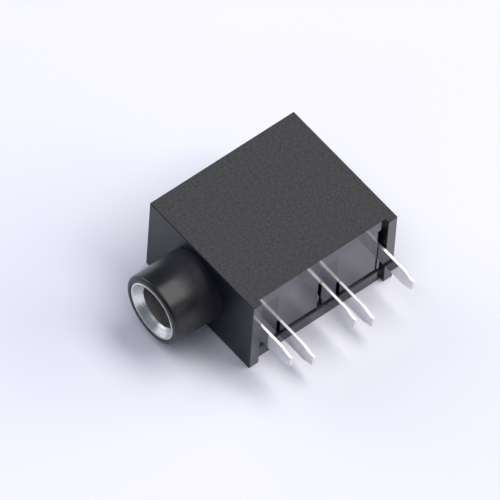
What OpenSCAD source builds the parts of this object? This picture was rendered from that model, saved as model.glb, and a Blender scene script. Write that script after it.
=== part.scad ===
// Audio jack socket for a 3.5 mm stereo plug, soldered to a board with the plug at a right angle.
// Every piece is drawn in its working attitude: X across, Y from the front face to the rear,
// Z up from the board. lying() then lays the part on its side, as it rests before it is fitted.

/* [Housing] */
// Width across the side walls
body_w = 7.7; // [7.4:0.1:9]
// Length from the front face to the rear face
body_l = 14; // [13.8:0.1:15.5]
// Height from the board to the top
body_h = 12.3; // [11:0.1:14]
// Side wall thickness beside the cover
side_wall = 1.15; // [0.95:0.05:1.2]
// Extra thickness of the side walls above the cover
inner_step = 0.25; // [0.15:0.05:0.3]
// Top wall thickness
top_wall = 1.1; // [0.8:0.05:1.6]
// Front wall thickness, also the front foot's
front_wall = 0.9; // [0.8:0.05:1]
// Rear wall thickness, also the rear foot's
rear_wall = 0.88; // [0.7:0.02:1]
// Height of the feet below the side walls' edges
foot_h = 0.4; // [0.2:0.05:0.5]
// Rounding of the outer edges
edge_r = 0.1; // [0.05:0.05:0.3]

/* [Nose] */
// Wall of the nose round the bushing's flange
nose_wall = 0.52; // [0.4:0.02:0.7]
// Length of the nose in front of the front face
nose_l = 4.36; // [3.5:0.1:6]
// Height of the plug axis above the board
axis_z = 6.5; // [6.3:0.1:7]
// Rounding of the nose's front edge
nose_edge_r = 0.3; // [0.1:0.05:0.35]

/* [Bushing] */
// Plug that fits the socket
plug_d = 3.5; // [3.4:0.05:3.6]
// Clearance of the plug in the bore
plug_gap = 0.1; // [0.05:0.01:0.2]
// Wall of the bushing's tube
tube_wall = 0.3; // [0.25:0.01:0.35]
// Width of the flange outside the tube
flange_w = 0.38; // [0.3:0.01:0.4]
// Thickness of the flange
flange_t = 0.5; // [0.3:0.05:0.8]
// Width of the flat lip between the lead-in cone and the flange's edge
lip_w = 0.18; // [0.1:0.01:0.3]
// Depth of the lead-in cone
lead_depth = 0.66; // [0.5:0.02:1]
// Depth of the flange's face behind the nose's end
flange_sink = 0.04; // [0.02:0.01:0.1]
// Length of tube behind the front wall
tube_tail = 0.8; // [0.5:0.05:0.9]

/* [Cover] */
// Depth of the cover's face behind the side walls' edges
cover_sink = 0.15; // [0.05:0.05:0.3]
// Thickness of the cover
cover_t = 1; // [0.8:0.05:1.1]
// Gap between the cover and the rear wall, where the tip terminal stands
rear_gap = 0.4; // [0.35:0.01:0.6]
// Radius of the snap ribs along the cover's sides
snap_r = 0.15; // [0.1:0.01:0.18]
// Length of each snap rib
snap_l = 1.4; // [0.8:0.1:1.6]
// Height of the tower that holds the ring terminal
tower_h = 1; // [0.6:0.1:1.1]
// Wall of the tower around the ring terminal
tower_wall = 0.5; // [0.35:0.05:0.6]
// Height of the spring terminals' plates above the tower
plate_rise = 0.2; // [0.1:0.05:0.3]

/* [Terminals] */
// Thickness of the strip that all terminals are stamped from
strip_t = 0.25; // [0.2:0.01:0.28]
// Width of the solder blades
blade_w = 1.7; // [1.5:0.05:1.7]
// Width of the solder blades where their round tips start
tip_w = 1.2; // [1:0.05:1.4]
// Corner radius of the round tips
tip_r = 0.4; // [0.3:0.05:0.45]
// Reach of the blades past the board face
pin_reach = 3.5; // [3:0.1:4]
// Reach at which the blades start to taper
taper_reach = 2.4; // [2:0.1:2.5]
// Ring switch blade's distance behind the front face
ring_switch_y = 3.3; // [3.2:0.05:3.5]
// Ring spring blade's distance behind the front face
ring_y = 7.25; // [7.2:0.05:7.4]
// Tip switch blade's distance behind the front face
tip_switch_y = 9.09; // [9:0.01:9.3]
// Ring blade's offset from the plug axis
ring_x = -0.4; // [-0.5:0.05:0.1]
// Tip blade's offset from the plug axis
tip_x = -0.3; // [-0.4:0.05:0.2]
// Distance of the spring terminals' plates from the side wall
plate_inset = 0.2; // [0.15:0.01:0.3]
// Height of the ring plate's shoulder above the board, inside the cover's slot
ring_shoulder_z = 0.8; // [0.6:0.05:1]
// Height of the tip plate's shoulder above the board
tip_shoulder_z = 0.5; // [0.4:0.05:0.9]
// Gap between the tip plate and the rear wall
tip_gap = 0.1; // [0.05:0.01:0.15]
// Height of the sleeve fork above the plug axis
fork_rise = 0.9; // [0.5:0.1:1.4]

/* [Contact springs] */
// How far a contact stands into the plug's space at rest
bite = 0.45; // [0.3:0.05:0.5]
// Width of the leaf springs
leaf_w = 1.5; // [1.2:0.05:1.5]
// Inner radius of each leaf's fold
fold_r = 0.4; // [0.35:0.05:0.5]
// Radius of the contact apex, at the middle of the strip
apex_r = 0.45; // [0.35:0.05:0.5]
// Ring contact's distance behind the front face
ring_contact_y = 4.4; // [4.3:0.05:4.6]
// Slope of the ring leaf
ring_slope = 20; // [16:1:22]
// Tip contact's distance behind the front face
tip_contact_y = 8.25; // [8.15:0.05:8.35]
// Slope of the tip leaf
tip_slope = 14; // [11:1:15]
// Slope of a leaf past its contact apex
fall_slope = 45; // [40:1:50]
// Straight length of the ring leaf past its apex
ring_fall = 0.35; // [0.3:0.01:0.4]
// Straight length of the tip leaf past its apex
tip_fall = 0.2; // [0.1:0.01:0.3]
// Radius of the bend from the ring leaf's fall to its lip, at the middle of the strip
lip_r = 0.4; // [0.3:0.01:0.45]
// Width of the ears that the switch hooks hold
ear_w = 0.5; // [0.4:0.05:0.6]
// Gap between an ear's end and the post of its switch
ear_gap = 0.2; // [0.1:0.05:0.3]
// Gap that parts a leaf from its terminal at the fold
part_line = 0.02; // [0.01:0.01:0.03]

/* [Switch hooks] */
// Gap between a resting leaf and its switch hook
switch_gap = 0.03; // [0.02:0.01:0.06]
// Height of the switch hooks
hook_h = 0.5; // [0.4:0.05:0.55]
// Length of the switch hooks
hook_l = 0.95; // [0.8:0.05:1.1]
// Width of the posts that carry the hooks
post_w = 0.35; // [0.3:0.05:0.4]

/* [Fits] */
// Clearance between pieces that are pushed together
push_gap = 0.02; // [0.01:0.01:0.03]
// Clearance round a blade in its slot
slot_gap = 0.05; // [0.04:0.01:0.06]
// Room in front of a blade in its slot
slot_front = 0.18; // [0.1:0.01:0.25]

/* [Hidden] */
$fn = 64;
// Overlap that lets a cut run clear of a face
over = 0.5;

side_x = body_w / 2 - side_wall;
upper_x = side_x - inner_step;
rear_y = body_l - rear_wall;
cover_z = foot_h + cover_sink;
cover_top = cover_z + cover_t;
cover_rear = rear_y - rear_gap;
mouth_y = -nose_l;
sleeve_y = front_wall + strip_t / 2;
tip_y = rear_y - tip_gap - strip_t / 2;

// The bushing is built up from its bore, and the nose round the bushing
bore_d = plug_d + plug_gap;
tube_d = bore_d + 2 * tube_wall;
flange_d = tube_d + 2 * flange_w;
lead_d = flange_d - 2 * lip_w;
nose_d = flange_d + 2 * nose_wall;

// The plates end below the leaves, clear of their travel
plate_top = cover_top + tower_h + plate_rise;
plate_edge_x = plate_inset - side_x;
switch_edge_x = slot_gap - side_x;
switch_x = switch_edge_x + blade_w / 2;
ear_end_x = switch_edge_x + post_w + ear_gap;

fold_mid_r = fold_r + strip_t / 2;
contact_top = axis_z - plug_d / 2 + bite;
apex_mid_z = contact_top - strip_t / 2;

// A leaf rises from its fold to the apex: its sloping run, and the height where the fold starts
function leaf_run(blade_y, contact_y, slope) =
    (blade_y - fold_mid_r * (1 - sin(slope)) - contact_y - apex_r * sin(slope)) / cos(slope);
function fold_z(blade_y, contact_y, slope) =
    apex_mid_z - apex_r * (1 - cos(slope)) - fold_mid_r * cos(slope)
    - leaf_run(blade_y, contact_y, slope) * sin(slope);

ring_run = leaf_run(ring_y, ring_contact_y, ring_slope);
ring_fold_z = fold_z(ring_y, ring_contact_y, ring_slope);
tip_run = leaf_run(tip_y, tip_contact_y, tip_slope);
tip_fold_z = fold_z(tip_y, tip_contact_y, tip_slope);

// Top of the ring leaf's lip, which its switch hook lies over
ring_lip_top = apex_mid_z - apex_r * (1 - cos(fall_slope)) - ring_fall * sin(fall_slope)
    - lip_r * (1 - cos(fall_slope)) + strip_t / 2;
// The lip ends with the ear, which is centred under the hook
ring_lip_l = ring_contact_y - apex_r * sin(fall_slope) - ring_fall * cos(fall_slope)
    - lip_r * sin(fall_slope) - ring_switch_y + ear_w / 2;
// Top of the tip leaf at the front edge of its switch hook
tip_ear_y = tip_switch_y - strip_t / 2;
tip_ear_top = apex_mid_z - apex_r * (1 - cos(tip_slope))
    - (tip_ear_y - tip_contact_y - apex_r * sin(tip_slope)) * tan(tip_slope)
    + strip_t / 2 / cos(tip_slope);
tip_ear_run = (tip_y - fold_mid_r * (1 - sin(tip_slope)) - tip_switch_y) / cos(tip_slope) - ear_w / 2;

plastic = [0.13, 0.13, 0.14];
gloss_plastic = [0.17, 0.17, 0.19];
nickel = [0.8, 0.79, 0.76];
tin = [0.82, 0.82, 0.84];

// Lays the part on its side: the pins point along +X and the plug goes in along +Y
module lying() {
    translate([(body_h - pin_reach) / 2, (nose_l - body_l) / 2, body_w / 2])
        rotate([0, -90, 0])
            children();
}

// Box between two corners
module span(low, high) {
    translate(low)
        cube(high - low);
}

// Rectangle from the origin with round corners
module round_rect(w, h, r) {
    translate([r, 0])
        square([w - 2 * r, h]);
    translate([0, r])
        square([w, h - 2 * r]);
    for (x = [r, w - r], y = [r, h - r])
        translate([x, y])
            circle(r);
}

// Flat stamping that stands across the plug: its outline is drawn in X and Z
module plate(middle_y) {
    translate([0, middle_y + strip_t / 2, 0])
        rotate([90, 0, 0])
            linear_extrude(strip_t)
                children();
}

// Round bar along the plug axis between two places
module axis_bar(d, from_y, to_y) {
    translate([0, to_y, axis_z])
        rotate([90, 0, 0])
            cylinder(d = d, h = to_y - from_y);
}

// Strip bent along a list of [length, 0] runs and [radius, angle] bends, along Y and towards Z.
// Children are drawn at its end.
module strip(steps, width, i = 0) {
    if (i < len(steps)) {
        size = steps[i][0];
        turn = steps[i][1];
        if (turn == 0) {
            translate([-width / 2, 0, -strip_t / 2])
                cube([width, size, strip_t]);
            translate([0, size, 0])
                strip(steps, width, i + 1)
                    children();
        } else {
            rise = sign(turn) * size;
            mirror([0, 0, turn < 0 ? 1 : 0])
                translate([0, 0, size])
                    rotate([0, 90, 0])
                        rotate_extrude(angle = abs(turn))
                            translate([size - strip_t / 2, -width / 2])
                                square([strip_t, width]);
            translate([0, 0, rise])
                rotate([turn, 0, 0])
                    translate([0, 0, -rise])
                        strip(steps, width, i + 1)
                            children();
        }
    } else {
        children();
    }
}

// Solder blade: straight, then tapered to a round tip. The crown's corners, from right to left,
// close its upper end.
module crowned_blade(x, crown) {
    tip_z = tip_r - pin_reach;
    polygon(concat(
        [[x - blade_w / 2, -taper_reach],
         [x - tip_w / 2, tip_z],
         [x + tip_w / 2, tip_z],
         [x + blade_w / 2, -taper_reach]],
        crown));
    translate([x - tip_w / 2, -pin_reach])
        round_rect(tip_w, pin_reach - taper_reach, tip_r);
}

// Solder blade with a square upper end
module blade(x, top_z) {
    crowned_blade(x, [[x + blade_w / 2, top_z], [x - blade_w / 2, top_z]]);
}

// Blade, plate and neck of a spring terminal, up to the line where its leaf is folded
module spring_base(x, middle_y, shoulder_z, top_z) {
    plate(middle_y) {
        blade(x, plate_top);
        translate([plate_edge_x, shoulder_z])
            square([x - plate_edge_x, plate_top - shoulder_z]);
        translate([x - leaf_w / 2, plate_top - over])
            square([leaf_w, top_z - plate_top + over - part_line]);
    }
}

// Blade, post and hook of a switch terminal: the hook lies over the spring's ear
module switch_base(middle_y, hook_z) {
    plate(middle_y) {
        blade(switch_x, plate_top);
        translate([switch_edge_x, plate_top - over])
            square([post_w, hook_z + hook_h - plate_top + over]);
        translate([switch_edge_x, hook_z])
            square([hook_l, hook_h]);
    }
}

// Ear on the edge of a leaf whose middle is at x, under the switch hook
module ear(x) {
    translate([ear_end_x - x, 0, -strip_t / 2])
        cube([x - ear_end_x, ear_w, strip_t]);
}

// Places where the snap ribs sit along each side
snap_y = [front_wall + (cover_rear - front_wall) / 4, cover_rear - (cover_rear - front_wall) / 4];

module snap_ribs(r, length) {
    for (x = [-side_x, side_x], y = snap_y)
        translate([x, y + length / 2, cover_z + cover_t / 2])
            rotate([90, 0, 0])
                cylinder(r = r, h = length);
}

// Block with every outer edge rounded
module body_block() {
    intersection() {
        translate([-body_w / 2, 0, 0])
            linear_extrude(body_h)
                round_rect(body_w, body_l, edge_r);
        translate([-body_w / 2, body_l, 0])
            rotate([90, 0, 0])
                linear_extrude(body_l)
                    round_rect(body_w, body_h, edge_r);
        translate([-body_w / 2, 0, 0])
            rotate([90, 0, 90])
                linear_extrude(body_w)
                    round_rect(body_l, body_h, edge_r);
    }
}

// Turned nose with a rounded front edge
module nose() {
    r = nose_d / 2;
    translate([0, mouth_y, axis_z])
        rotate([-90, 0, 0])
            rotate_extrude() {
                translate([0, nose_edge_r])
                    square([r, nose_l + front_wall / 2 - nose_edge_r]);
                square([r - nose_edge_r, nose_l]);
                translate([r - nose_edge_r, nose_edge_r])
                    circle(nose_edge_r);
            }
}

// Groove in the upper part of a side wall that a plate's edge slides into, or in both walls
module plate_groove(middle_y, top_z, end_x = 0) {
    half = strip_t / 2 + slot_gap;
    span([-side_x, middle_y - half, cover_top - over], [end_x, middle_y + half, top_z]);
}

module housing() {
    top_z = body_h - top_wall;
    color(plastic)
        difference() {
            union() {
                body_block();
                nose();
            }
            // Gap between the feet
            span([-body_w, front_wall, -over], [body_w, rear_y, foot_h]);
            // Seat of the cover, and the space for plug and springs above it
            span([-side_x, front_wall, -over], [side_x, rear_y, cover_top]);
            span([-upper_x, front_wall, cover_top - over], [upper_x, rear_y, top_z]);
            // Room for the sleeve fork behind the front wall
            span([-side_x, front_wall, cover_top - over],
                 [side_x, front_wall + strip_t + slot_gap, axis_z + fork_rise + slot_gap]);
            plate_groove(ring_switch_y, ring_lip_top + switch_gap + hook_h + slot_gap);
            plate_groove(ring_y, plate_top + slot_gap);
            plate_groove(tip_switch_y, tip_ear_top + switch_gap + hook_h + slot_gap);
            plate_groove(tip_y, plate_top + slot_gap, side_x);
            snap_ribs(snap_r + push_gap, snap_l + 2 * slot_gap);
            axis_bar(tube_d + 2 * push_gap, mouth_y - over, front_wall + over);
            axis_bar(flange_d + 2 * push_gap, mouth_y - over, mouth_y + flange_sink + flange_t);
        }
}

module bottom_cover() {
    blade_half = blade_w / 2 + slot_gap;
    slot_ahead = strip_t / 2 + slot_front;
    slot_behind = strip_t / 2 + slot_gap;
    edge = side_x - push_gap;
    color(gloss_plastic)
        difference() {
            union() {
                span([-edge, front_wall + push_gap, cover_z], [edge, cover_rear, cover_top]);
                span([push_gap - upper_x, ring_y - slot_ahead - tower_wall, cover_z],
                     [ring_x + blade_half + tower_wall, ring_y + slot_behind + tower_wall, cover_top + tower_h]);
                snap_ribs(snap_r, snap_l);
            }
            // Notch for the sleeve blade
            span([-blade_half, 0, -over], [blade_half, sleeve_y + slot_behind, plate_top]);
            // Slots that run in from one side
            span([-body_w, ring_switch_y - slot_ahead, -over],
                 [switch_x + blade_half, ring_switch_y + slot_behind, plate_top]);
            span([-body_w, ring_y - slot_ahead, -over],
                 [ring_x + blade_half, ring_y + slot_behind, plate_top + over]);
            span([-body_w, tip_switch_y - slot_ahead, -over],
                 [switch_x + blade_half, tip_switch_y + slot_behind, plate_top]);
        }
}

module sleeve_bushing() {
    bore_r = bore_d / 2;
    face_y = mouth_y + flange_sink;
    length = front_wall + tube_tail - face_y;
    color(nickel)
        translate([0, face_y, axis_z])
            rotate([-90, 0, 0])
                rotate_extrude()
                    polygon([
                        [lead_d / 2, 0],
                        [flange_d / 2, 0],
                        [flange_d / 2, flange_t],
                        [tube_d / 2, flange_t],
                        [tube_d / 2, length],
                        [bore_r, length],
                        [bore_r, lead_depth]]);
}

module sleeve_terminal() {
    fork_x = side_x - slot_gap;
    fork_top = axis_z + fork_rise;
    fork_z = axis_z - tube_d / 2 - blade_w / 2;
    root_z = cover_top + slot_gap;
    inner_r = tube_d / 2 + push_gap;
    color(tin)
        plate(sleeve_y)
            difference() {
                crowned_blade(0, [
                    [blade_w / 2, root_z],
                    [fork_x, fork_z],
                    [fork_x, fork_top],
                    [-fork_x, fork_top],
                    [-fork_x, fork_z],
                    [-blade_w / 2, root_z]]);
                translate([0, axis_z])
                    circle(inner_r);
                translate([-inner_r, axis_z])
                    square([2 * inner_r, fork_rise + over]);
            }
}

module ring_switch_terminal() {
    color(tin)
        switch_base(ring_switch_y, ring_lip_top + switch_gap);
}

module ring_terminal() {
    color(tin)
        spring_base(ring_x, ring_y, ring_shoulder_z, ring_fold_z);
}

module ring_spring() {
    color(tin)
        translate([ring_x, ring_y, ring_fold_z])
            rotate([90, 0, 0])
                strip([
                    [fold_mid_r, 90 - ring_slope],
                    [ring_run, 0],
                    [apex_r, ring_slope + fall_slope],
                    [ring_fall, 0],
                    [lip_r, -fall_slope],
                    [ring_lip_l, 0]], leaf_w)
                    translate([0, -ear_w, 0])
                        ear(ring_x);
}

module tip_switch_terminal() {
    color(tin)
        switch_base(tip_switch_y, tip_ear_top + switch_gap);
}

module tip_terminal() {
    color(tin) {
        spring_base(tip_x, tip_y, tip_shoulder_z, tip_fold_z);
        // Upper half of the plate, above the cover
        plate(tip_y)
            translate([tip_x, cover_top])
                square([-plate_edge_x - tip_x, plate_top - cover_top]);
    }
}

module tip_spring() {
    color(tin)
        translate([tip_x, tip_y, tip_fold_z])
            rotate([90, 0, 0])
                strip([
                    [fold_mid_r, 90 - tip_slope],
                    [tip_ear_run, 0]], leaf_w) {
                    ear(tip_x);
                    strip([
                        [tip_run - tip_ear_run, 0],
                        [apex_r, tip_slope + fall_slope],
                        [tip_fall, 0]], leaf_w);
                }
}

lying() housing();
lying() bottom_cover();
lying() sleeve_bushing();
lying() sleeve_terminal();
lying() ring_switch_terminal();
lying() ring_terminal();
lying() ring_spring();
lying() tip_switch_terminal();
lying() tip_terminal();
lying() tip_spring();
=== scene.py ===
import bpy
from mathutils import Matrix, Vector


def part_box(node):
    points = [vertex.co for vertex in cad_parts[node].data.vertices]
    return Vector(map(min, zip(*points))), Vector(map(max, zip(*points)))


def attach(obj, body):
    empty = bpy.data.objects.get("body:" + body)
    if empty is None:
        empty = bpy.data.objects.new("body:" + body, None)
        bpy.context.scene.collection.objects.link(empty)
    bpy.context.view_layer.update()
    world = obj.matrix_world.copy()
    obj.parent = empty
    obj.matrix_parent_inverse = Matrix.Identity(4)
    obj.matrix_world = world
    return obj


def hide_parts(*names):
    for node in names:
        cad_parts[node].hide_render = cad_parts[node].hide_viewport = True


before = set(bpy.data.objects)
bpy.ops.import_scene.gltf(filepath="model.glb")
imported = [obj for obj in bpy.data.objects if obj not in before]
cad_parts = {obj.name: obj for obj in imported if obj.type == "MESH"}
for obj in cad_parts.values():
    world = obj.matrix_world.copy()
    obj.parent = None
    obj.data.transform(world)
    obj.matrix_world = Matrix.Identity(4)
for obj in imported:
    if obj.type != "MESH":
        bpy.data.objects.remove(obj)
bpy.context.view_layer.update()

import math

import bmesh
import bpy
from mathutils import Matrix, Vector

MM = 0.001

# The plug's axis: it runs along Y through this place in X and Z
AXIS_X = -0.0021
AXIS_Z = 0.00385
# How far the nose stands out from the front face
NOSE_LENGTH = 4.06 * MM
# Where the nose leaves the front face, along Y in millimetres
NOSE_ROOT = -4.85
# Where the nose is glossier and carries a painted highlight, and where both have faded out, along Y in
# millimetres
GLOSS_AND_HIGHLIGHT_FULL = -7.5
GLOSS_AND_HIGHLIGHT_GONE = -6.0
# Spans along Y, in millimetres, of the cover's lands between its paired slots
LANDS = ((-5.0, -1.83), (2.2, 3.97))
# Half the width over which a land passes into the polished face, in millimetres
LAND_EDGE = 0.03

# Rounding of the edges, in millimetres, and the facets that make it
HOUSING_EDGE = 0.06
COVER_EDGE = 0.05
STRIP_EDGE = 0.03
EDGE_FACETS = 2
# An edge is hard where its faces turn by more than this
HARD_BEND = math.radians(30)
# Faces that turn by less than this are one flat face
FLAT_BEND = math.radians(1)

# Range in which most of a noise's values lie
NOISE_LOW = 0.3
NOISE_HIGH = 0.7


# Camera, light and floor

def photo_camera():
    """Long lens at the photograph's viewing angle, with its slight roll."""
    azimuth, elevation, roll = math.radians(47.138), math.radians(54.422), math.radians(4.377)
    distance = 993.508 * MM
    aim = Vector((-1.578, -0.089, 4.634)) * MM
    sensor_mm = 36
    focal_mm = 953.5
    back = Vector((math.sin(azimuth) * math.cos(elevation),
                   -math.cos(azimuth) * math.cos(elevation),
                   math.sin(elevation)))
    lens = bpy.data.cameras.new("photo_camera")
    lens.sensor_width = sensor_mm
    lens.lens = focal_mm
    lens.clip_start = 0.01
    lens.clip_end = 20
    camera = bpy.data.objects.new("photo_camera", lens)
    upright = (-back).to_track_quat("-Z", "Y").to_matrix().to_4x4()
    place = Matrix.Translation(aim + back * distance)
    camera.matrix_world = place @ upright @ Matrix.Rotation(roll, 4, "Z")
    bpy.context.collection.objects.link(camera)
    bpy.context.scene.camera = camera


def soft_box(name, place, width, height, watts, colour):
    """Large rectangular studio lamp that faces the middle of the table, with its width along X."""
    lamp = bpy.data.lights.new(name, "AREA")
    lamp.shape = "RECTANGLE"
    lamp.size = width
    lamp.size_y = height
    lamp.energy = watts
    lamp.color = colour
    box = bpy.data.objects.new(name, lamp)
    back = Vector(place).normalized()
    across = (Vector((1, 0, 0)) - back * back.x).normalized()
    turn = Matrix((across, back.cross(across), back)).transposed().to_4x4()
    box.matrix_world = Matrix.Translation(place) @ turn
    box.visible_camera = False
    bpy.context.collection.objects.link(box)


def studio():
    """Soft boxes round the table in a dim bluish room."""
    world = bpy.data.worlds.new("studio_room")
    world.use_nodes = True
    room = world.node_tree.nodes["Background"]
    room.inputs["Color"].default_value = (0.66, 0.76, 1.0, 1)
    room.inputs["Strength"].default_value = 0.19
    bpy.context.scene.world = world
    warm = (1, 0.98, 0.95)
    cool = (0.95, 0.95, 1.0)
    bluish = (0.88, 0.91, 1.0)
    soft_box("overhead_box", (0.176, 0.342, 0.735), width=0.9, height=0.34, watts=4.4, colour=warm)
    soft_box("back_box", (0.404, 0.7, 0.263), width=0.9, height=0.42, watts=5.1, colour=warm)
    soft_box("front_fill_box", (0.025, -0.29, 0.8), width=0.62, height=0.46, watts=1.6, colour=cool)
    soft_box("left_fill_box", (-0.744, -0.2, 0.36), width=0.62, height=0.46, watts=2.35, colour=bluish)
    bpy.context.scene.view_settings.view_transform = "Standard"


def table_top(material):
    """Wide pale floor."""
    mesh = bpy.data.meshes.new("table_top")
    half = 2.5
    corners = [(-half, -half, 0), (half, -half, 0), (half, half, 0), (-half, half, 0)]
    mesh.from_pydata(corners, [], [(0, 1, 2, 3)])
    floor = bpy.data.objects.new("table_top", mesh)
    mesh.materials.append(material)
    bpy.context.collection.objects.link(floor)


# Materials

class Wiring:
    """A material's node tree, with its shader and a place to hang nodes on."""

    def __init__(self, name):
        self.material = bpy.data.materials.new(name)
        self.material.use_nodes = True
        self.tree = self.material.node_tree
        self.shader = self.tree.nodes["Principled BSDF"]
        self.column = 0

    def node(self, kind, **settings):
        made = self.tree.nodes.new(kind)
        self.column += 1
        made.location = (-220 * self.column, 0)
        for key, value in settings.items():
            setattr(made, key, value)
        return made

    def join(self, source, target):
        self.tree.links.new(source, target)

    def set(self, **values):
        """Plain values on the shader's own sockets."""
        for key, value in values.items():
            self.shader.inputs[key.replace("_", " ")].default_value = value

    def wire(self, **sources):
        """Links into the shader's own sockets."""
        for key, source in sources.items():
            self.join(source, self.shader.inputs[key.replace("_", " ")])

    def millimetres(self):
        """Object coordinates in millimetres."""
        place = self.node("ShaderNodeTexCoord")
        scale = self.node("ShaderNodeMapping")
        scale.inputs["Scale"].default_value = (1 / MM, 1 / MM, 1 / MM)
        self.join(place.outputs["Object"], scale.inputs["Vector"])
        return scale.outputs["Vector"]

    def normal(self):
        """The direction that the surface faces."""
        return self.node("ShaderNodeTexCoord").outputs["Normal"]

    def parts(self, vector):
        """A vector's three numbers, by their axes."""
        split = self.node("ShaderNodeSeparateXYZ")
        self.join(vector, split.inputs["Vector"])
        return split.outputs

    def noise(self, place, per_mm, detail, roughness):
        grain = self.node("ShaderNodeTexNoise")
        grain.inputs["Scale"].default_value = per_mm
        grain.inputs["Detail"].default_value = detail
        grain.inputs["Roughness"].default_value = roughness
        self.join(place, grain.inputs["Vector"])
        return grain.outputs["Fac"]

    def tint(self, noise, first, second):
        """Colour that goes from one to another over a noise's range."""
        band = self.node("ShaderNodeValToRGB")
        stops = ((NOISE_LOW, first), (NOISE_HIGH, second))
        for point, (position, colour) in zip(band.color_ramp.elements, stops):
            point.position = position
            point.color = (*colour, 1)
        self.join(noise, band.inputs["Fac"])
        return band.outputs["Color"]

    def spread(self, value, low, high, to_low, to_high):
        """Value carried from one range to another."""
        span = self.node("ShaderNodeMapRange")
        ends = {"From Min": low, "From Max": high, "To Min": to_low, "To Max": to_high}
        for socket, number in ends.items():
            span.inputs[socket].default_value = number
        self.join(value, span.inputs["Value"])
        return span.outputs["Result"]

    def vary(self, noise, first, second):
        """Number that goes from one to another over a noise's range."""
        return self.spread(noise, NOISE_LOW, NOISE_HIGH, first, second)

    def mix(self, share, first, second):
        """Blend of two numbers, each a socket or a plain value."""
        blend = self.node("ShaderNodeMix", data_type="FLOAT")
        self.join(share, blend.inputs["Factor"])
        for socket, value in (("A", first), ("B", second)):
            if isinstance(value, (int, float)):
                blend.inputs[socket].default_value = value
            else:
                self.join(value, blend.inputs[socket])
        return blend.outputs["Result"]

    def blend(self, share, first, second):
        """Blend of two colours."""
        blend = self.node("ShaderNodeMix", data_type="RGBA")
        self.join(share, blend.inputs["Factor"])
        colours = [socket for socket in blend.inputs if socket.type == "RGBA"]
        self.join(first, colours[0])
        self.join(second, colours[1])
        return next(socket for socket in blend.outputs if socket.type == "RGBA")

    def bump(self, height, depth_mm, share=None):
        """Relief of a given depth, scaled by a share where there is one."""
        relief = self.node("ShaderNodeBump")
        relief.inputs["Distance"].default_value = depth_mm * MM
        relief.inputs["Strength"].default_value = 1
        self.join(height, relief.inputs["Height"])
        if share is not None:
            self.join(share, relief.inputs["Strength"])
        return relief.outputs["Normal"]


def facing(w):
    """Sharp shares of two kinds of face: the grained outer sides, and those that face the board."""
    turn = w.parts(w.normal())
    level = w.node("ShaderNodeMath", operation="ABSOLUTE")
    w.join(turn["Z"], level.inputs[0])
    away = w.node("ShaderNodeMath", operation="MULTIPLY")
    away.inputs[1].default_value = -1
    w.join(turn["X"], away.inputs[0])
    outer = level.outputs[0]
    for direction in (away.outputs[0], turn["Y"]):
        most = w.node("ShaderNodeMath", operation="MAXIMUM")
        w.join(outer, most.inputs[0])
        w.join(direction, most.inputs[1])
        outer = most.outputs[0]
    return w.spread(outer, 0.93, 0.97, 0, 1), w.spread(turn["X"], 0.9, 0.97, 0, 1)


def grained_plastic():
    """Black moulding: fine spark-eroded grain on the sides, satin ends with a painted bluish reflection,
    a nose glossier at its mouth with a painted highlight there, and polished faces to the board."""
    w = Wiring("housing_plastic")
    w.set(IOR=1.45, Coat_Roughness=0.1, Coat_IOR=1.5)
    place = w.millimetres()
    grain = w.noise(place, per_mm=4.8, detail=4, roughness=0.65)
    cloud = w.noise(place, per_mm=1.1, detail=3, roughness=0.55)
    along = w.parts(place)["Y"]
    # Share of the glossier finish and of the painted highlight: full at the mouth, gone towards the root
    mouth_gloss_and_highlight = w.spread(along, GLOSS_AND_HIGHLIGHT_FULL, GLOSS_AND_HIGHLIGHT_GONE, 1, 0)
    on_nose = w.spread(along, NOSE_ROOT - 0.01, NOSE_ROOT + 0.01, 1, 0)
    side, board = (w.mix(on_nose, share, 0.0) for share in facing(w))

    tone = w.tint(grain, (0.019, 0.0194, 0.0199), (0.065, 0.066, 0.067))
    # Painted reflection: the blue in this black stands for the lavender table reflected in the smooth
    # ends, the nose and the faces to the board
    black_with_painted_blue = w.tint(cloud, (0.0035, 0.0035, 0.0095), (0.007, 0.007, 0.015))
    # Painted highlight: a lighter, neutral colour near the mouth that brightens the nose's highlight
    # there
    painted_highlight = w.tint(cloud, (0.008, 0.008, 0.0085), (0.013, 0.013, 0.0135))
    colour = w.blend(side, w.blend(mouth_gloss_and_highlight, black_with_painted_blue, painted_highlight), tone)

    satin = w.vary(cloud, 0.34, 0.41)
    matt = w.vary(grain, 0.62, 0.75)
    bright = w.vary(cloud, 0.28, 0.32)
    polished = w.vary(cloud, 0.08, 0.13)
    ends = w.mix(on_nose, satin, w.mix(mouth_gloss_and_highlight, matt, bright))
    roughness = w.mix(board, w.mix(side, ends, matt), polished)

    relief = w.bump(grain, 0.02, w.mix(board, w.mix(side, 0.12, 1.0), 0.0))
    w.wire(Base_Color=colour, Roughness=roughness, Coat_Weight=w.mix(board, 0.0, 0.7), Normal=relief)
    return w.material


def glossy_plastic():
    """Black moulding from a polished tool, with a painted violet reflection of the lavender table in its
    colour, and satin lands between its paired slots."""
    w = Wiring("cover_plastic")
    w.set(IOR=1.5, Coat_Roughness=0.06, Coat_IOR=1.5)
    place = w.millimetres()
    cloud = w.noise(place, per_mm=1.3, detail=3, roughness=0.6)
    along = w.parts(place)["Y"]
    land = None
    for start, end in LANDS:
        begun = w.spread(along, start - LAND_EDGE, start + LAND_EDGE, 0, 1)
        ended = w.spread(along, end - LAND_EDGE, end + LAND_EDGE, 0, 1)
        inside = w.mix(ended, begun, 0.0)
        land = inside if land is None else w.mix(inside, land, 1.0)
    # Painted reflection: this lighter violet base stands for the lavender table reflected in the
    # polished cover
    colour = w.tint(cloud, (0.011, 0.0105, 0.02), (0.019, 0.0185, 0.033))
    polished = w.vary(cloud, 0.06, 0.11)
    satin = w.vary(cloud, 0.12, 0.18)
    w.wire(Base_Color=colour, Roughness=w.mix(land, polished, satin),
           Coat_Weight=w.mix(land, 0.75, 0.4), Normal=w.bump(cloud, 0.002))
    return w.material


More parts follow.
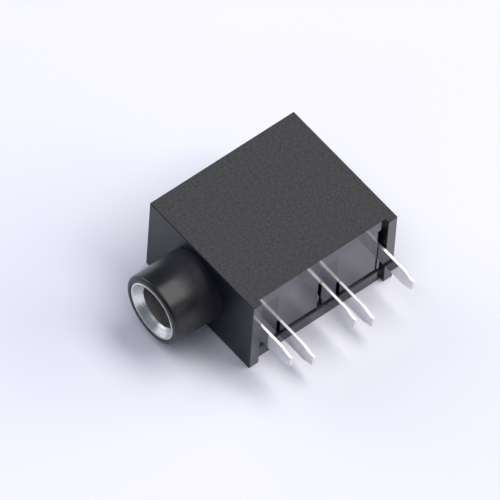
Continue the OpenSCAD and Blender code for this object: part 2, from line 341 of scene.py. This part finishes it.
def turned_nickel():
    """Nickel over turned brass, with the rings that the turning tool leaves."""
    w = Wiring("bushing_nickel")
    w.set(Metallic=1)
    centred = w.node("ShaderNodeMapping")
    centred.inputs["Location"].default_value = (-AXIS_X / MM, 0, -AXIS_Z / MM)
    w.join(w.millimetres(), centred.inputs["Vector"])
    across = w.node("ShaderNodeVectorMath", operation="MULTIPLY")
    across.inputs[1].default_value = (1, 0, 1)
    w.join(centred.outputs["Vector"], across.inputs[0])
    radius = w.node("ShaderNodeVectorMath", operation="LENGTH")
    w.join(across.outputs["Vector"], radius.inputs[0])
    rings = w.node("ShaderNodeTexNoise", noise_dimensions="1D")
    rings.inputs["Scale"].default_value = 11
    rings.inputs["Detail"].default_value = 3
    rings.inputs["Roughness"].default_value = 0.7
    w.join(radius.outputs["Value"], rings.inputs["W"])
    marks = rings.outputs["Fac"]
    cloud = w.noise(centred.outputs["Vector"], per_mm=3, detail=3, roughness=0.6)
    w.wire(Base_Color=w.tint(cloud, (0.7, 0.69, 0.66), (0.82, 0.81, 0.78)),
           Roughness=w.vary(marks, 0.2, 0.38), Normal=w.bump(marks, 0.012))
    return w.material


def tinned_strip():
    """Bright tin over copper alloy strip, drawn along the blades, with rough sheared edges."""
    w = Wiring("terminal_tin")
    w.set(Metallic=1)
    place = w.millimetres()
    drawn = w.node("ShaderNodeMapping")
    drawn.inputs["Scale"].default_value = (0.25, 1, 1)
    w.join(place, drawn.inputs["Vector"])
    streaks = w.noise(drawn.outputs["Vector"], per_mm=9, detail=3, roughness=0.6)
    cloud = w.noise(place, per_mm=1.6, detail=3, roughness=0.6)
    across = w.node("ShaderNodeMath", operation="ABSOLUTE")
    w.join(w.parts(w.normal())["Y"], across.inputs[0])
    sheared = w.spread(across.outputs[0], 0.5, 0.8, 1, 0)
    rolled = w.vary(streaks, 0.05, 0.13)
    torn = w.vary(streaks, 0.3, 0.45)
    w.wire(Base_Color=w.tint(cloud, (0.76, 0.76, 0.77), (0.86, 0.86, 0.87)),
           Roughness=w.mix(sheared, rolled, torn), Normal=w.bump(cloud, 0.002))
    return w.material


def pale_table():
    """Pale lavender sheet."""
    w = Wiring("pale_table")
    w.set(Roughness=0.9, Specular_IOR_Level=0.2)
    cloud = w.noise(w.millimetres(), per_mm=0.02, detail=2, roughness=0.5)
    w.wire(Base_Color=w.tint(cloud, (0.88, 0.875, 0.96), (0.9, 0.895, 0.98)))
    return w.material


# Pieces

class Tree:
    """A Geometry Nodes tree with named inputs for its sizes."""

    def __init__(self, name):
        self.group = bpy.data.node_groups.new(name, "GeometryNodeTree")
        self.group.is_modifier = True
        self.entry = self.group.nodes.new("NodeGroupInput")
        self.values = {}

    def size(self, name, value, kind="NodeSocketFloat"):
        """A named input, and the value that the piece gives it."""
        socket = self.group.interface.new_socket(name, in_out="INPUT", socket_type=kind)
        self.values[socket.identifier] = value
        return next(out for out in self.entry.outputs if out.identifier == socket.identifier)

    def node(self, kind, sockets=None, **settings):
        """A node with its settings; a socket takes a link or a plain value."""
        made = self.group.nodes.new(kind)
        for key, value in settings.items():
            setattr(made, key, value)
        for key, value in (sockets or {}).items():
            if isinstance(value, bpy.types.NodeSocket):
                self.group.links.new(value, made.inputs[key])
            else:
                made.inputs[key].default_value = value
        return made

    def close(self, geometry, material):
        """End of the tree: one plain mesh with its material."""
        whole = self.node("GeometryNodeRealizeInstances", {"Geometry": geometry})
        coated = self.node("GeometryNodeSetMaterial", {"Geometry": whole.outputs["Geometry"],
                                                       "Material": material})
        self.group.interface.new_socket("Geometry", in_out="OUTPUT", socket_type="NodeSocketGeometry")
        leave = self.group.nodes.new("NodeGroupOutput")
        self.group.links.new(coated.outputs["Geometry"], leave.inputs[0])

    def bake(self, name):
        """Plain mesh of the tree's result."""
        carrier = bpy.data.objects.new(name + "_tree", bpy.data.meshes.new(name + "_tree"))
        bpy.context.collection.objects.link(carrier)
        steps = carrier.modifiers.new("tree", "NODES")
        steps.node_group = self.group
        for identifier, value in self.values.items():
            steps[identifier] = value
        ready = carrier.evaluated_get(bpy.context.evaluated_depsgraph_get())
        mesh = bpy.data.meshes.new_from_object(ready)
        carrier.modifiers.remove(steps)
        bpy.data.objects.remove(carrier)
        mesh.name = name
        return mesh


def turned_ring(material):
    """The bushing as a lathe makes it: its section, with small broken edges, swept round the axis."""
    tree = Tree("turned_ring")
    low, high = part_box("sleeve_bushing")
    bore = tree.size("Bore Radius", 1.8 * MM)
    tube = tree.size("Tube Radius", 2.1 * MM)
    lead = tree.size("Lead-in Radius", 2.3 * MM)
    flange = tree.size("Flange Radius", (high[0] - low[0]) / 2)
    depth = tree.size("Lead-in Depth", 0.66 * MM)
    thick = tree.size("Flange Thickness", 0.5 * MM)
    length = tree.size("Length", high[1] - low[1])
    edge = tree.size("Edge Rounding", 0.035 * MM)
    sides = tree.size("Sides", 128, "NodeSocketInt")
    mouth = tree.size("Mouth", (AXIS_X, low[1], AXIS_Z), "NodeSocketVector")
    corners = [(lead, 0.0), (flange, 0.0), (flange, thick), (tube, thick),
               (tube, length), (bore, length), (bore, depth)]
    pick = tree.node("GeometryNodeIndexSwitch", data_type="VECTOR")
    while len(pick.index_switch_items) < len(corners):
        pick.index_switch_items.new()
    tree.group.links.new(tree.node("GeometryNodeInputIndex").outputs["Index"], pick.inputs["Index"])
    for i, (radius, along) in enumerate(corners):
        reach = tree.node("ShaderNodeMath", {0: radius, 1: bore}, operation="SUBTRACT")
        corner = tree.node("ShaderNodeCombineXYZ", {"X": reach.outputs[0], "Y": along})
        tree.group.links.new(corner.outputs["Vector"], pick.inputs[i + 1])
    chain = tree.node("GeometryNodeMeshLine", {"Count": len(corners)})
    section = tree.node("GeometryNodeSetPosition", {"Geometry": chain.outputs["Mesh"],
                                                    "Position": pick.outputs["Output"]})
    outline = tree.node("GeometryNodeMeshToCurve", {"Mesh": section.outputs["Geometry"]})
    closed = tree.node("GeometryNodeSetSplineCyclic", {"Geometry": outline.outputs["Curve"],
                                                       "Cyclic": True})
    broken = tree.node("GeometryNodeFilletCurve", {"Curve": closed.outputs["Geometry"],
                                                   "Radius": edge, "Count": 4,
                                                   "Limit Radius": True}, mode="POLY")
    circle = tree.node("GeometryNodeCurvePrimitiveCircle", {"Resolution": sides, "Radius": bore},
                       mode="RADIUS")
    swept = tree.node("GeometryNodeCurveToMesh", {"Curve": circle.outputs["Curve"],
                                                  "Profile Curve": broken.outputs["Curve"]})
    placed = tree.node("GeometryNodeTransform", {"Geometry": swept.outputs["Mesh"], "Translation": mouth,
                                                 "Rotation": (math.radians(90), 0, 0)})
    tree.close(placed.outputs["Geometry"], material)
    return tree.bake("turned_bushing")


def gate_mark(mesh, material):
    """The moulding with the mark of its gate, broken off in a round recess on the face away from the
    board."""
    low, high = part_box("housing")
    middle_y = (low[1] + NOSE_LENGTH + high[1]) / 2
    middle_z = (low[2] + high[2]) / 2
    sides = 40
    # Depth and radius down the recess's wall and up its nub, in millimetres
    section = ((-0.1, 0.74), (0.0, 0.74), (0.09, 0.66), (0.09, 0.3), (0.04, 0.2))
    turns = [2 * math.pi * i / sides for i in range(sides)]
    bm = bmesh.new()
    rings = []
    for depth, radius in section:
        ring = []
        for turn in turns:
            reach_y = radius * MM * math.cos(turn)
            reach_z = radius * MM * math.sin(turn)
            ring.append(bm.verts.new((low[0] + depth * MM, middle_y + reach_y, middle_z + reach_z)))
        rings.append(ring)
    for first, second in zip(rings, rings[1:]):
        for i in range(sides):
            bm.faces.new((first[i - 1], first[i], second[i], second[i - 1]))
    bm.faces.new(rings[0])
    bm.faces.new(rings[-1])
    bmesh.ops.recalc_face_normals(bm, faces=bm.faces)
    recess = bpy.data.meshes.new("gate_recess")
    bm.to_mesh(recess)
    bm.free()
    recess.materials.append(material)
    cutter = bpy.data.objects.new("gate_recess", recess)
    blank = bpy.data.objects.new("blank", mesh)
    for made in (cutter, blank):
        bpy.context.collection.objects.link(made)
    cut = blank.modifiers.new("gate", "BOOLEAN")
    cut.operation = "DIFFERENCE"
    cut.solver = "EXACT"
    cut.object = cutter
    ready = blank.evaluated_get(bpy.context.evaluated_depsgraph_get())
    marked = bpy.data.meshes.new_from_object(ready)
    for made in (cutter, blank):
        bpy.data.objects.remove(made)
    marked.name = mesh.name + "_marked"
    return marked


def softened(node, name, material, radius, shortest=0.0005):
    """A mesh with a CAD node's own shape, whose hard edges are rounded as a real tool leaves them.
    Edges under the shortest length are closed first, because they would hold the rounding back. Both
    lengths are in millimetres."""
    bm = bmesh.new()
    bm.from_mesh(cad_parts[node].data)
    bmesh.ops.scale(bm, vec=(1 / MM, 1 / MM, 1 / MM), verts=bm.verts)
    bmesh.ops.remove_doubles(bm, verts=bm.verts, dist=shortest)
    bmesh.ops.dissolve_limit(bm, angle_limit=FLAT_BEND, verts=bm.verts, edges=bm.edges)
    hard = [e for e in bm.edges if len(e.link_faces) == 2 and e.calc_face_angle(0) > HARD_BEND]
    bmesh.ops.bevel(bm, geom=hard, offset=radius, offset_type="OFFSET", segments=EDGE_FACETS,
                    profile=0.5, affect="EDGES", clamp_overlap=True)
    bmesh.ops.scale(bm, vec=(MM, MM, MM), verts=bm.verts)
    mesh = bpy.data.meshes.new(name)
    bm.to_mesh(mesh)
    bm.free()
    mesh.materials.append(material)
    return mesh


def fitted(mesh, name, node, body):
    """A finished mesh in place of a CAD node."""
    mesh.shade_smooth()
    mesh.set_sharp_from_angle(angle=HARD_BEND)
    piece = bpy.data.objects.new(name, mesh)
    bpy.context.collection.objects.link(piece)
    even = piece.modifiers.new("even_normals", "WEIGHTED_NORMAL")
    even.keep_sharp = True
    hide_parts(node)
    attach(piece, body)


photo_camera()
studio()
table_top(pale_table())

plastic = grained_plastic()
gloss = glossy_plastic()
nickel = turned_nickel()
tin = tinned_strip()
housing = gate_mark(softened("housing", "housing", plastic, HOUSING_EDGE), plastic)
fitted(housing, "moulded_housing", "housing", "base")
cover = softened("bottom_cover", "cover", gloss, COVER_EDGE)
fitted(cover, "snap_in_cover", "bottom_cover", "base")
fitted(turned_ring(nickel), "turned_bushing", "sleeve_bushing", "base")
for contact in ("sleeve", "ring_switch", "ring", "tip_switch", "tip"):
    terminal = contact + "_terminal"
    stamping = softened(terminal, terminal, tin, STRIP_EDGE)
    fitted(stamping, "stamped_" + terminal, terminal, "base")
for leaf in ("ring", "tip"):
    spring = softened(leaf + "_spring", leaf + "_leaf", tin, STRIP_EDGE, shortest=0.003)
    fitted(spring, leaf + "_leaf_spring", leaf + "_spring", leaf + "_leaf")
